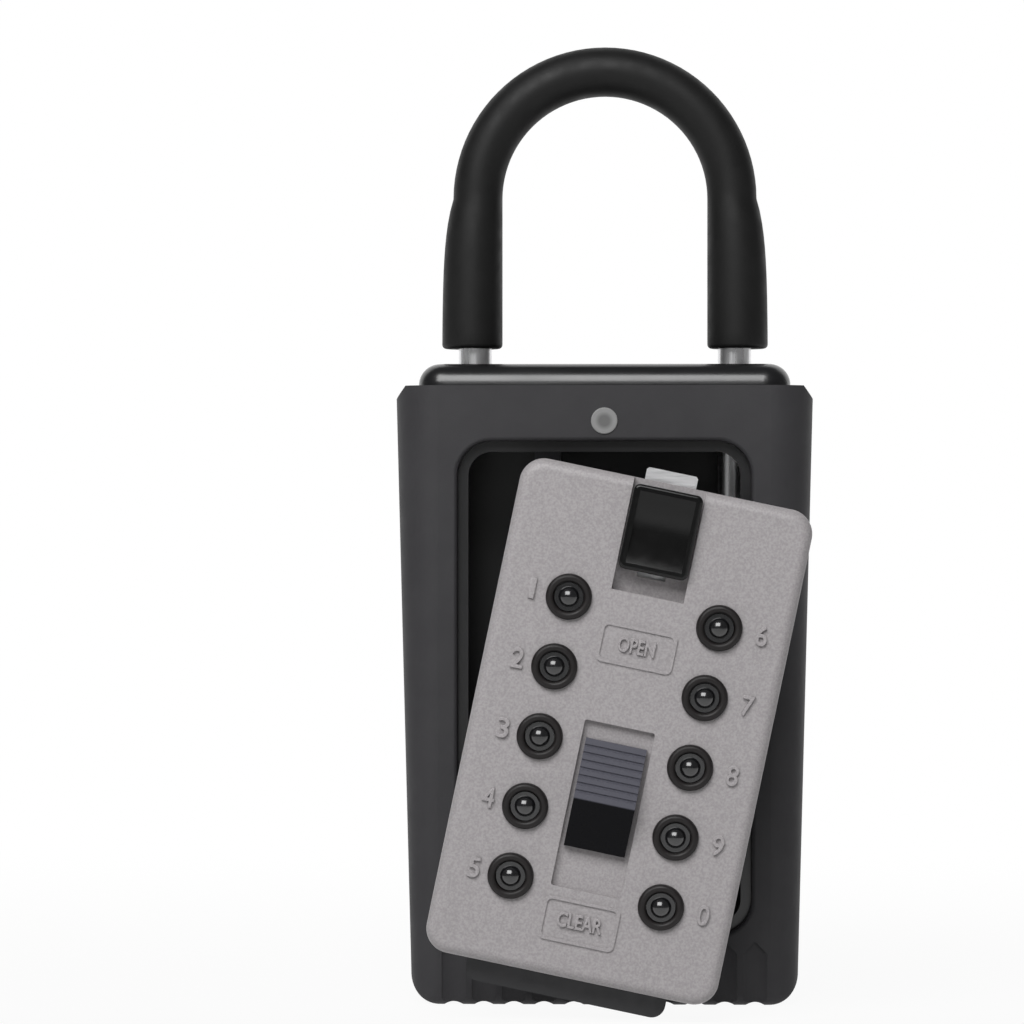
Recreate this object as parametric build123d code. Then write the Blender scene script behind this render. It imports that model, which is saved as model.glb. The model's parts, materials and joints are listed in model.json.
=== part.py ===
from build123d import *
import os

# Portable key safe, in millimetres. X runs to the right, Y into the case and Z up.
# The origin is the centre of the case's base. The lid is off the case, rolled and held in front.
os.makedirs("parts", exist_ok=True)

# Bumper boot
boot_height = 116.3
boot_base_width = 72.6
boot_flare = 3.15
boot_depth = 48.0
boot_side_wall = 4.3
boot_face_wall = 3.0
boot_floor = 3.6
boot_side_radius = 5.1
boot_base_radius = 6.0
boot_base_edge = 2.0
corner_step_across = 2.0
corner_step_down = 2.6
boot_fit = 0.1

# Window in the boot's front, which the lid fills when it is on
window_side = 8.75
window_sill = 13.3
window_brow = 10.5
window_radius = 6.5
window_edge = 0.8

# Flutes at the foot of the boot
flute_count = 11
flute_pitch = 5.65
flute_width = 4.5
flute_depth = 0.7
flute_shoulder = 9.7
flute_peak = 12.0
scallop_width = 3.6
scallop_length = 7.0

# Disc set into the boot above the window
disc_radius = 2.5
disc_thickness = 0.8
disc_sink = 0.5
disc_above_window = 3.8

# Metal case
case_rise = 4.2
case_side_radius = 2.0
case_top_edge = 4.0
case_wall = 3.0
top_block_height = 12.5
compartment_side_radius = 1.5
rim_width = 1.95
rim_thickness = 1.8
rim_radius = 4.5

# Shackle
bar_radius = 3.2
leg_offset = 25.0
leg_height = 31.0
toe_depth = 11.3
leg_clearance = 0.3
shackle_lift = 13.0
bare_leg = 3.5
sleeve_crown_wall = 1.6
sleeve_end_wall = 2.25
sleeve_fit = 0.05
leg_tip = 0.6
clip_overhang = 2.0
clip_thickness = 1.0
clip_groove = 0.8
clip_gap_width = 4.4
clip_play = 0.4
heel_below_clip = 1.8

# Shackle latch
latch_width = 7.6
latch_height = 7.0
nose_thickness = 3.0
nose_rise = 4.2
nose_gap = 0.9
latch_throw = 3.0
notch_depth = 2.3
latch_length = 18.0
latch_play = 0.2
tab_size = 5.0
tab_drop = 7.0
tab_setback = 9.9
cover_thickness = 1.4
cover_margin = 4.6
cover_corner = 1.0

# Fasteners
screw_radius = 1.1
screw_head_radius = 2.2
screw_head_height = 1.2
screw_fit = 0.05
screw_head_gap = 0.1
screw_depth = 2.3
screw_end_gap = 1.0

# Lid cover, in the lid's own frame: X across, Y back from the seat on the rim, Z up
lid_gap = 0.6
lid_thickness = 5.0
lid_radius = 4.5
lid_edge = 2.0

# Place of the lid off the case
lid_roll = 11.8
lid_shift = 2.8
lid_drop = 6.7
lid_distance = 30.0

# Lid housing
housing_inset = 3.6
housing_depth = 12.0
housing_wall = 1.6
housing_back = 1.5
housing_radius = 3.0
boss_radius = 2.4
boss_inset = 4.6
centre_boss_radius = 2.5
centre_screw_radius = 1.25
centre_head_radius = 2.6
head_sink = 0.8
bush_radius = 3.6
bush_thickness = 0.8
bush_gap = 0.2

# Tongue that hooks behind the sill of the case's opening
tongue_side = 3.5
tongue_neck = 26.0
tongue_hook = 5.8
tongue_inner_length = 5.4
tongue_thickness = 1.4
tongue_corner = 2.5
tongue_place = 2.3
tongue_post_offset = 9.0
tongue_post_inset = 2.7
tongue_post_radius = 2.0

# Buttons, in rows between the first and the last one's distance from the lid's edges
left_digits = "12345"
right_digits = "67890"
column_inset = 8.15
first_row_inset = 23.65
last_row_inset = 16.21
button_radius = 2.6
button_dome_inset = 0.7
button_dome_height = 1.3
button_rise = 0.5
button_flange_width = 0.6
button_flange = 0.7
button_clearance = 0.15
guard_width = 1.55
guard_rise = 1.2
guard_sink = 1.6
guard_backing = 1.2
guard_round = 0.65
guard_clearance = 0.05
flange_gap = 0.3
stem_radius = 1.5
spigot_radius = 0.95
spigot_length = 1.9
pin_radius = 2.1
pin_collar_radius = 3.0
pin_collar = 0.6
pin_collar_gap = 0.6
pin_slot_width = 0.8
pin_slot_depth = 0.9

# Gate plate behind the buttons
gate_place = 4.0
gate_thickness = 1.0
gate_side_gap = 1.2
gate_above_first_row = 8.0
gate_above_last_row = 0.84
gate_head_half_width = 8.0
gate_head_above_stem = 1.5
slot_side_gap = 0.2
stake_gap = 0.05

# Open lever and latch bolt
bolt_hold = 3.65
bolt_spare = 0.25
bolt_width = 9.5
bolt_thickness = 1.6
bolt_below_stem = 4.2
bolt_bevel = 1.1
bolt_corner = 0.4
lever_width = 12.7
lever_length = 15.6
lever_inset = 1.05
lever_side_gap = 0.3
lever_end_gap = 0.1
lever_recess_depth = 3.0
lever_rise = 1.9
lever_edge = 1.2
lever_lip = 0.7
lever_lift_gap = 0.3
lever_stem_half_width = 2.4
lever_stem_length = 4.8
lever_stem_rise = 3.2

# Clear slider, below the centre screw, with its other places down from its top end
slider_below_middle = 2.2
slider_width = 11.2
slider_length = 19.8
slider_ridge_drop = 10.9
slider_side_gap = 0.85
slider_top_gap = 3.2
slider_recess_depth = 1.4
slider_rise = 3.4
slider_edge_rise = 0.4
slider_rib_count = 7
slider_rib_depth = 0.3
slider_travel = 7.3
slider_gap = 0.2
slider_stem_half_width = 2.0
slider_stem_length = 4.0
slider_stem_drop = 7.7
clear_bar_half_width = 8.0
clear_bar_drop = 3.8
clear_bar_height = 14.0
clear_bar_place = 0.8
clear_bar_thickness = 1.0

# Springs
spring_wire = 0.4
button_spring_radius = 2.6
button_spring_turns = 2.5
works_spring_radius = 1.5
works_spring_turns = 6
spring_seat_gap = 0.15
ledge_half_width = 3.0
ledge_thickness = 1.6
bolt_spring_space = 12.6
clear_spring_space = 11.4
ledge_gap = 0.4

# Raised frames round the words on the lid
frame_width = 14.0
open_frame_height = 7.4
open_frame_inset = 30.15
clear_frame_height = 8.0
clear_frame_inset = 10.35
frame_line = 0.6
frame_rise = 0.35
frame_radius = 1.2

# How far a tool runs past the face it cuts, and a piece into what it is fused with
past = 1.0
merge = 0.01

# Boot and case, where they follow from the sizes above
boot_front = -boot_depth / 2
boot_back = boot_depth / 2
case_front = boot_front + boot_face_wall
case_back = boot_back - boot_face_wall
case_top = boot_height + case_rise
case_ceiling = case_top - top_block_height
compartment_front = case_front + rim_thickness
compartment_back = case_back - case_wall
compartment_floor = boot_floor + case_wall
boot_base_half = boot_base_width / 2
case_base_half = boot_base_half - boot_side_wall
compartment_base_half = case_base_half - case_wall
boot_flat = boot_base_half - boot_side_radius
case_flat = case_base_half - case_side_radius
compartment_flat = compartment_base_half - compartment_side_radius
window_width = boot_base_width - 2 * window_side
window_height = boot_height - window_brow - window_sill
window_middle = window_sill + window_height / 2
opening_width = window_width - 2 * rim_width
opening_height = window_height - 2 * rim_width
disc_height = window_sill + window_height + disc_above_window

# Shackle and latch
crown_height = case_top + leg_height
toe_end = case_top - toe_depth
clip_top = case_ceiling - shackle_lift - clip_play
heel_end = clip_top - clip_thickness - heel_below_clip
sleeve_end_height = case_top + bare_leg
sleeve_crown_radius = bar_radius + sleeve_fit + sleeve_crown_wall
sleeve_end_radius = bar_radius + sleeve_fit + sleeve_end_wall
nose_tip = leg_offset - bar_radius - nose_gap
nose_height = case_ceiling + nose_rise
tab_place = nose_tip - tab_setback

# Lid, from the window that it fills
lid_width = window_width - 2 * lid_gap
lid_height = window_height - 2 * lid_gap
lid_front = -lid_thickness
lid_rest = boot_front - lid_distance + lid_thickness
lid_top = lid_height / 2
housing_inner = housing_depth - housing_back
housing_width = opening_width - 2 * housing_inset
housing_height = opening_height - 2 * housing_inset
tongue_width = housing_width - 2 * tongue_side
tongue_reach = opening_height / 2 + tongue_hook
tongue_wall = housing_height / 2 - housing_wall - slot_side_gap
tongue_top = tongue_wall - tongue_inner_length
tongue_post_height = tongue_wall - tongue_post_inset

# Buttons and gate
first_row = lid_top - first_row_inset
last_row = last_row_inset - lid_top
row_pitch = (first_row - last_row) / (len(left_digits) - 1)
column_offset = housing_width / 2 - column_inset
button_flange_radius = button_radius + button_flange_width
guard_radius = button_radius + guard_width
guard_floor = lid_front + guard_sink
flange_front = guard_floor + guard_backing
pin_collar_place = gate_place + gate_thickness + pin_collar_gap
gate_half_width = housing_width / 2 - housing_wall - gate_side_gap
gate_top = first_row + gate_above_first_row
gate_bottom = last_row + gate_above_last_row

# Lever and bolt
lever_travel = bolt_hold + bolt_spare
lever_bottom = lid_top - lever_inset - lever_length
lever_floor = lid_front + lever_recess_depth
lever_recess_bottom = lever_bottom - lever_travel - lever_end_gap
lever_stem_bottom = lever_bottom + lever_stem_rise
gate_head_top = lever_stem_bottom + lever_stem_length + gate_head_above_stem
bolt_tip = opening_height / 2 + bolt_hold
bolt_foot = lever_stem_bottom - bolt_below_stem
bolt_ledge_top = bolt_foot - bolt_spring_space

# Slider and clear bar
slider_top = -slider_below_middle
slider_bottom = slider_top - slider_length
slider_ridge = slider_top - slider_ridge_drop
slider_floor = lid_front + slider_recess_depth
slider_recess_top = slider_top + slider_top_gap
slider_recess_bottom = slider_bottom - slider_travel - slider_gap
slider_stem_top = slider_top - slider_stem_drop
clear_bar_top = slider_top - clear_bar_drop
clear_bar_bottom = clear_bar_top - clear_bar_height
clear_ledge_top = clear_bar_bottom - clear_spring_space


def half_width(height):
    """Half the boot's width at a height, along its sloping side."""
    return boot_base_half + boot_flare * height / boot_height


def tapered_block(wall, flat, bottom, top, front, back):
    """A block whose sides run a wall's thickness inside the boot's sides."""
    middle = (front + back) / 2
    sections = []
    for height in (bottom, top):
        side = half_width(height) - wall
        outline = RectangleRounded(2 * side, back - front, side - flat)
        sections.append(Pos(0, middle, height) * outline)
    return loft(sections, ruled=True)


def slab(outline, front, back):
    """An outline drawn across and up, made solid from one Y to another."""
    return extrude(Plane.XZ.offset(-front) * outline, back - front, dir=(0, 1, 0))


def block(left, right, front, back, bottom, top):
    """A plain block between its six faces."""
    centre = ((left + right) / 2, (front + back) / 2, (bottom + top) / 2)
    return Pos(*centre) * Box(right - left, back - front, top - bottom)


def rod(radius, front, back, across=0, up=0):
    """A round bar along Y."""
    return slab(Pos(across, up) * Circle(radius), front, back)


def turned(points, across=0, up=0):
    """A turned piece about an axis along Y, from (radius, y) points."""
    face = make_face(Polyline(*points, close=True))
    return Pos(across, 0, up) * revolve(face, Axis.Y)


def spring(radius, length, turns, wire):
    """A coil spring that stands on the origin, up Z."""
    height = length - wire
    path = Helix(pitch=height / turns, height=height, radius=radius)
    section = Plane(origin=path @ 0, z_dir=path % 0) * Circle(wire / 2)
    return Pos(0, 0, wire / 2) * sweep(section, path=path, is_frenet=True)


def screw(radius, head_radius, head_height, length):
    """A pan head screw with its head's seat at the origin, its shank down -Z."""
    head = extrude(Circle(head_radius), head_height)
    head = fillet(head.edges().group_by(Axis.Z)[-1], head_height / 3)
    slot = Pos(0, 0, head_height) * Box(3 * head_radius, head_radius / 4, head_height * 0.8)
    return head - slot + extrude(Circle(radius), -length)


def place_lid(shape):
    """Move a piece from the lid's own frame to where the lid is held."""
    return Pos(lid_shift, lid_rest, window_middle - lid_drop) * Rot(0, lid_roll, 0) * shape


def button_places():
    """The digit on each button with its place across and up the lid."""
    places = []
    for row in range(len(left_digits)):
        up = first_row - row * row_pitch
        places.append((left_digits[row], -column_offset, up))
        places.append((right_digits[row], column_offset, up))
    return places


def screw_places():
    """The four corners of the housing where it is screwed to the lid cover."""
    across = housing_width / 2 - boss_inset
    up = housing_height / 2 - boss_inset
    return [(side * across, end * up) for side in (-1, 1) for end in (-1, 1)]


# The case

def make_case_body():
    body = tapered_block(boot_side_wall, case_flat, boot_floor, case_top, case_front, case_back)
    body = fillet(body.edges().group_by(Axis.Z)[-1], case_top_edge)
    body -= tapered_block(boot_side_wall + case_wall, compartment_flat,
                          compartment_floor, case_ceiling, compartment_front, compartment_back)
    opening = RectangleRounded(opening_width, opening_height, rim_radius)
    body -= slab(Pos(0, window_middle) * opening, case_front - past, compartment_front + past)
    bore = bar_radius + leg_clearance
    body -= Pos(leg_offset, 0, case_ceiling - past) * extrude(Circle(bore), case_top)
    body -= Pos(-leg_offset, 0, toe_end - clip_play) * extrude(Circle(bore), case_top)
    body -= latch_channel()
    return body - latch_screw_bores()


def latch_channel():
    """The way the latch slides in, open below and into the toe leg's bore."""
    half = latch_width / 2 + latch_play
    roof = case_ceiling + latch_play + latch_height + latch_play
    end = -nose_tip + latch_length + latch_play
    return block(-leg_offset, end, -half, half, case_ceiling - past, roof)


def latch_screw_places():
    across = nose_tip - latch_length / 2
    up = latch_width / 2 + screw_head_radius + latch_play
    return [(-across - latch_length / 4, -up), (-across + latch_length / 4, up)]


def latch_screw_bores():
    depth = 2 * screw_head_radius
    tool = extrude(Circle(screw_radius + screw_fit), depth + screw_fit)
    return [Pos(x, y, case_ceiling) * tool for x, y in latch_screw_places()]


def make_bumper_boot():
    boot = tapered_block(0, boot_flat, 0, boot_height, boot_front, boot_back)
    boot = fillet(boot.edges().group_by(Axis.Z)[0], boot_base_edge)
    for side in (-1, 1):
        boot -= boot_corner_cut(side) + boot_shoulder_cut(side)
    boot -= tapered_block(boot_side_wall - boot_fit, case_flat, boot_floor, case_top,
                          case_front - boot_fit, case_back + boot_fit)
    window = Pos(0, window_middle) * RectangleRounded(window_width, window_height, window_radius)
    boot -= slab(window, boot_front - past, case_front)
    boot = fillet(boot.edges().filter_by(on_window_edge), window_edge)
    boot -= rod(disc_radius, boot_front - past, boot_front + disc_sink, 0, disc_height)
    return boot - flutes()


def on_window_edge(edge):
    """Whether an edge lies on the boot's front face, round the window."""
    middle = edge.center()
    in_front = abs(middle.Y - boot_front) < merge
    across = abs(middle.X) < window_width / 2 + merge
    return in_front and across and abs(middle.Z - window_middle) < window_height / 2 + merge


def boot_corner_cut(side):
    """What rounding takes off a lower corner of the boot, seen from the front."""
    centre = half_width(boot_base_radius) - boot_base_radius
    radius = boot_base_radius
    square = block(centre, centre + 2 * radius, boot_front - past, boot_back + past, -past, radius)
    cut = square - rod(radius, boot_front - 2 * past, boot_back + 2 * past, centre, radius)
    return cut if side > 0 else mirror(cut, Plane.YZ)


def boot_shoulder_cut(side):
    """What the small slope takes off an upper corner of the boot."""
    edge = half_width(boot_height)
    outline = Polygon((edge - corner_step_across, boot_height),
                      (edge + past, boot_height + past),
                      (edge + past, boot_height - corner_step_down - past),
                      (edge, boot_height - corner_step_down), align=None)
    cut = slab(outline, boot_front - past, boot_back + past)
    return cut if side > 0 else mirror(cut, Plane.YZ)


def arc_radius(width, depth):
    """The radius of a hollow of a given width and depth."""
    return (width**2 / 4 + depth**2) / (2 * depth)


def flutes():
    """The hollows up the boot's foot, pointed at the top, and the scallops under them."""
    groove_radius = arc_radius(flute_width + flute_depth, flute_depth)
    scallop_radius = arc_radius(scallop_width, flute_depth)
    half = flute_width / 2
    house = Polygon((-half, -past), (half, -past), (half, flute_shoulder),
                    (0, flute_peak), (-half, flute_shoulder), align=None)
    groove = Pos(0, boot_front - groove_radius + flute_depth, -past) \
        * extrude(Circle(groove_radius), flute_peak + 2 * past)
    groove &= slab(house, boot_front - past, boot_front + flute_depth + past)
    scallop = rod(scallop_radius, boot_front - past, boot_front + scallop_length,
                  0, flute_depth - scallop_radius)
    first = -flute_pitch * (flute_count - 1) / 2
    places = [first + i * flute_pitch for i in range(flute_count)]
    return [Pos(x, 0, 0) * tool for x in places for tool in (groove, scallop)]


def make_front_disc():
    disc = rod(disc_radius, boot_front + disc_sink - disc_thickness, boot_front + disc_sink,
               0, disc_height)
    return fillet(disc.edges().group_by(Axis.Y)[0], disc_thickness / 4)


# The shackle and its latch

def make_shackle():
    crown = revolve(Pos(leg_offset, 0) * Circle(bar_radius), Axis.Y, 180)
    crown = Pos(0, 0, crown_height) * Rot(180, 0, 0) * crown
    toe = Pos(-leg_offset, 0, toe_end) * extrude(Circle(bar_radius), crown_height - toe_end)
    toe = chamfer(toe.edges().group_by(Axis.Z)[0], leg_tip)
    heel = Pos(leg_offset, 0, heel_end) * extrude(Circle(bar_radius), crown_height - heel_end)
    heel = chamfer(heel.edges().group_by(Axis.Z)[0], leg_tip)
    notch_left = -leg_offset + bar_radius - notch_depth
    nose_top = nose_height + nose_thickness
    notch = block(notch_left, 0, -bar_radius, bar_radius,
                  nose_height - latch_play, nose_top + latch_play)
    groove = extrude(Circle(2 * bar_radius) - Circle(bar_radius - clip_groove), clip_thickness)
    groove = Pos(leg_offset, 0, clip_top - clip_thickness) * groove
    return crown + (toe - notch) + (heel - groove)


def make_shackle_sleeve():
    bore = bar_radius + sleeve_fit
    crown = revolve(Pos(leg_offset, 0) * (Circle(sleeve_crown_radius) - Circle(bore)), Axis.Y, 180)
    sleeve = Pos(0, 0, crown_height) * Rot(180, 0, 0) * crown
    length = crown_height - sleeve_end_height
    for side in (-1, 1):
        leg = Cone(sleeve_end_radius, sleeve_crown_radius, length) - Cylinder(bore, length)
        leg = fillet(leg.edges().group_by(Axis.Z)[0].sort_by(Edge.length)[-1:], leg_tip)
        sleeve += Pos(side * leg_offset, 0, sleeve_end_height + length / 2) * leg
    return sleeve


def make_shackle_clip():
    radius = bar_radius + clip_overhang
    ring = Circle(radius) - Circle(bar_radius - clip_groove + sleeve_fit)
    ring -= Pos(radius, 0) * Rectangle(2 * radius, clip_gap_width)
    thickness = clip_thickness - 2 * sleeve_fit
    ring = extrude(ring, thickness)
    return Pos(leg_offset, 0, clip_top - clip_thickness + sleeve_fit) * Rot(0, 0, 180) * ring


def make_shackle_latch():
    bottom = case_ceiling + latch_play
    half = latch_width / 2
    nose_half = half - 2 * latch_play
    nose_root = -nose_tip + nose_thickness + latch_throw
    slide = block(nose_root, -nose_tip + latch_length, -half, half, bottom, bottom + latch_height)
    nose = block(-nose_tip, nose_root, -nose_half, nose_half,
                 nose_height, nose_height + nose_thickness)
    nose = fillet(nose.edges().filter_by(Axis.Z).group_by(Axis.X)[0], leg_tip)
    tab = block(-tab_place - tab_size / 2, -tab_place + tab_size / 2,
                -tab_size / 2, tab_size / 2, case_ceiling - tab_drop, bottom)
    tab = fillet(tab.edges().group_by(Axis.Z)[0], leg_tip)
    return slide + nose + tab


def make_latch_cover():
    left = -leg_offset + bar_radius
    right = -nose_tip + latch_length + cover_margin
    half = latch_width / 2 + cover_margin
    cover = block(left, right, -half, half, case_ceiling - cover_thickness, case_ceiling)
    cover = fillet(cover.edges().filter_by(Axis.Z), cover_corner)
    slot_left = -tab_place - tab_size / 2 - latch_throw - latch_play
    slot_right = -tab_place + tab_size / 2 + latch_play
    slot_half = tab_size / 2 + latch_play
    cover -= block(slot_left, slot_right, -slot_half, slot_half,
                   case_ceiling - 2 * cover_thickness, case_ceiling + past)
    hole = extrude(Circle(screw_radius + screw_fit), 2 * cover_thickness)
    return cover - [Pos(x, y, case_ceiling - 1.5 * cover_thickness) * hole
                    for x, y in latch_screw_places()]


def make_latch_cover_screws():
    length = cover_thickness + 2 * screw_head_radius
    one = Rot(180, 0, 0) * screw(screw_radius, screw_head_radius, screw_head_height, length)
    return Compound([Pos(x, y, case_ceiling - cover_thickness) * one
                     for x, y in latch_screw_places()])


# The lid, in its own frame

def make_lid_cover():
    outline = RectangleRounded(lid_width, lid_height, lid_radius)
    cover = slab(outline, lid_front, 0)
    cover = fillet(cover.edges().group_by(Axis.Y)[0], lid_edge)
    cover -= lever_recess() + slider_recess()
    for digit, across, up in button_places():
        cover -= rod(guard_radius + guard_clearance, lid_front - past, guard_floor, across, up)
        cover -= rod(button_radius + button_clearance, lid_front - past, past, across, up)
        cover -= rod(button_flange_radius + button_clearance, flange_front, past, across, up)
    cover += word_frame(open_frame_height, lid_top - open_frame_inset)
    cover += word_frame(clear_frame_height, clear_frame_inset - lid_top)
    return cover + cover_bosses()


def lever_recess():
    """The lever's recess, open at the lid's top edge, and the slot for its stem."""
    half = lever_width / 2 + lever_side_gap
    recess = block(-half, half, lid_front - past, lever_floor, lever_recess_bottom, lid_top + past)
    stem = lever_stem_half_width + slot_side_gap
    slot_bottom = lever_stem_bottom - lever_travel - slot_side_gap
    slot_top = lever_stem_bottom + lever_stem_length + slot_side_gap
    return recess + block(-stem, stem, lid_front, past, slot_bottom, slot_top)


def slider_recess():
    """The clear slider's recess and the slot for its stem."""
    middle = (slider_recess_top + slider_recess_bottom) / 2
    height = slider_recess_top - slider_recess_bottom
    outline = RectangleRounded(slider_width + 2 * slider_side_gap, height, 2 * slot_side_gap)
    recess = slab(Pos(0, middle) * outline, lid_front - past, slider_floor)
    stem = slider_stem_half_width + slot_side_gap
    slot_bottom = slider_stem_top - slider_stem_length - slider_travel - slot_side_gap
    slot_top = slider_stem_top + slot_side_gap
    return recess + block(-stem, stem, lid_front, past, slot_bottom, slot_top)


def word_frame(height, up):
    outer = RectangleRounded(frame_width, height, frame_radius)
    inner = RectangleRounded(frame_width - 2 * frame_line, height - 2 * frame_line,
                             frame_radius - frame_line / 2)
    return slab(Pos(0, up) * (outer - inner), lid_front - frame_rise, lid_front + frame_rise)


def cover_bosses():
    """The posts and ledges on the back of the lid cover."""
    bore = screw_radius + screw_fit
    end = housing_inner + past
    bosses = rod(centre_boss_radius, -past, housing_inner) \
        - rod(centre_screw_radius + screw_fit, screw_depth, end)
    for across, up in screw_places():
        bosses += rod(boss_radius, -past, housing_inner, across, up) \
            - rod(bore, screw_depth, end, across, up)
    for side in (-1, 1):
        across = side * tongue_post_offset
        bosses += rod(tongue_post_radius, -past, tongue_place, across, -tongue_post_height) \
            - rod(bore, 0, tongue_place + past, across, -tongue_post_height)
    for top in (bolt_ledge_top, clear_ledge_top):
        bosses += block(-ledge_half_width, ledge_half_width, -past, gate_place - ledge_gap,
                        top - ledge_thickness, top)
    return bosses


def make_lid_housing():
    tray = slab(RectangleRounded(housing_width, housing_height, housing_radius), 0, housing_depth)
    tray = fillet(tray.edges().group_by(Axis.Y)[-1], housing_wall / 2)
    inner = RectangleRounded(housing_width - 2 * housing_wall,
                             housing_height - 2 * housing_wall, housing_radius - housing_wall)
    tray -= slab(inner, -past, housing_inner)
    bore = pin_radius + button_clearance
    for digit, across, up in button_places():
        tray -= rod(bore, housing_inner - past, housing_depth + past, across, up)
    for across, up in screw_places():
        tray -= screw_seat(screw_radius, screw_head_radius, across, up)
    tray -= screw_seat(centre_screw_radius, centre_head_radius, 0, 0)
    end = housing_height / 2 + past
    wall = housing_height / 2 - 2 * housing_wall
    bolt_half = bolt_width / 2 + slot_side_gap
    bolt_back = tongue_place + bolt_thickness + slot_side_gap
    tray -= block(-bolt_half, bolt_half, -past, bolt_back, wall, end)
    tongue_half = tongue_width / 2 + slot_side_gap
    tray -= block(-tongue_half, tongue_half, -past, tongue_place + tongue_thickness, -end, -wall)
    return tray


def screw_seat(radius, head_radius, across, up):
    """A screw hole through the housing's back with a sunk seat for the head."""
    bottom = housing_depth - head_sink
    seat = rod(head_radius + screw_head_gap, bottom, housing_depth + past, across, up)
    return seat + rod(radius + screw_fit, housing_inner - past, housing_depth, across, up)


def lid_screw(radius, head_radius, across, up):
    """A screw driven from behind the lid, its head sunk in the housing's back."""
    seat = housing_depth - head_sink
    length = seat - screw_depth - screw_end_gap
    one = Rot(-90, 0, 0) * screw(radius, head_radius, screw_head_height, length)
    return Pos(across, seat, up) * one


def make_housing_screws():
    return Compound([lid_screw(screw_radius, screw_head_radius, x, z) for x, z in screw_places()])


def make_centre_screw():
    return lid_screw(centre_screw_radius, centre_head_radius, 0, 0)


def make_centre_bush():
    back = housing_inner - bush_gap
    inner = centre_boss_radius + bush_gap
    return rod(bush_radius, back - bush_thickness, back) - rod(inner, 0, housing_depth)


def make_lid_tongue():
    hook_middle = -(tongue_reach + tongue_wall) / 2
    hook = Pos(0, hook_middle) * Rectangle(tongue_width, tongue_reach - tongue_wall)
    hook = fillet(hook.vertices().group_by(Axis.Y)[0], tongue_corner)
    neck_middle = -(tongue_wall + tongue_top) / 2
    neck = Pos(0, neck_middle) * Rectangle(tongue_neck, tongue_inner_length + merge)
    tongue = slab(hook + neck, tongue_place, tongue_place + tongue_thickness)
    for side in (-1, 1):
        across = side * tongue_post_offset
        tongue -= rod(screw_radius + screw_fit, 0, housing_inner, across, -tongue_post_height)
    return tongue


def make_tongue_screws():
    seat = tongue_place + tongue_thickness
    one = Rot(-90, 0, 0) * screw(screw_radius, tongue_post_radius, screw_head_height, seat)
    return Compound([Pos(side * tongue_post_offset, seat, -tongue_post_height) * one
                     for side in (-1, 1)])


# The buttons and the works behind them

def make_button_guards():
    inner = button_radius + button_clearance
    top = lid_front - guard_rise
    ring = turned([(inner, guard_floor), (guard_radius, guard_floor),
                   (guard_radius, top), (inner, top)])
    ring = fillet(ring.edges().group_by(Axis.Y)[0], guard_round)
    return Compound([Pos(across, 0, up) * ring for digit, across, up in button_places()])


def make_button(across, up):
    top = lid_front - button_rise
    flange = flange_front + flange_gap
    under = flange + button_flange
    spigot = pin_collar_place + spigot_length
    points = [(0, top), (button_radius, top), (button_radius, flange),
              (button_flange_radius, flange), (button_flange_radius, under),
              (stem_radius, under), (stem_radius, pin_collar_place),
              (spigot_radius, pin_collar_place), (spigot_radius, spigot), (0, spigot)]
    body = turned(points)
    dome_top = top - button_dome_height
    dome_radius = arc_radius(2 * (button_radius - button_dome_inset), button_dome_height)
    dome = Pos(0, dome_top + dome_radius, 0) * Sphere(dome_radius)
    dome &= rod(button_radius, dome_top - past, top + button_rise)
    return Pos(across, 0, up) * (body + dome)


def make_code_pin(across, up):
    end = housing_depth - screw_head_gap
    collar_back = pin_collar_place + pin_collar
    bore = spigot_radius + screw_fit
    bore_end = pin_collar_place + spigot_length + screw_fit
    points = [(bore, pin_collar_place), (pin_collar_radius, pin_collar_place),
              (pin_collar_radius, collar_back), (pin_radius, collar_back),
              (pin_radius, end), (0, end), (0, bore_end), (bore, bore_end)]
    slot = block(-pin_radius, pin_radius, end - pin_slot_depth, end + past,
                 -pin_slot_width / 2, pin_slot_width / 2)
    return Pos(across, 0, up) * (turned(points) - slot)


def make_button_spring(across, up):
    front = pin_collar_place + pin_collar + spring_seat_gap
    length = housing_inner - spring_seat_gap - front
    coil = spring(button_spring_radius, length, button_spring_turns, spring_wire)
    return Pos(across, front, up) * Rot(-90, 0, 0) * coil


def make_gate_plate():
    plate = Pos(0, (gate_top + gate_bottom) / 2) \
        * Rectangle(2 * gate_half_width, gate_top - gate_bottom)
    head_height = gate_head_top - gate_top
    plate += Pos(0, gate_top + head_height / 2) \
        * Rectangle(2 * gate_head_half_width, head_height + 2 * merge)
    width = 2 * (stem_radius + slot_side_gap)
    for digit, across, up in button_places():
        plate -= Pos(across, up + lever_travel / 2) * slot_outline(width, lever_travel + width)
    bush_width = 2 * (bush_radius + 2 * slot_side_gap)
    plate -= Pos(0, lever_travel / 2) * slot_outline(bush_width, lever_travel + bush_width)
    plate -= stem_hole()
    return slab(plate, gate_place, gate_place + gate_thickness)


def slot_outline(width, length):
    """A slot with round ends that runs up the lid."""
    return Rot(0, 0, 90) * SlotOverall(length, width)


def stem_hole():
    """The hole where the lever's stem is staked into the gate and the bolt."""
    middle = lever_stem_bottom + lever_stem_length / 2
    gap = 2 * stake_gap
    return Pos(0, middle) * Rectangle(2 * lever_stem_half_width + gap, lever_stem_length + gap)


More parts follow.
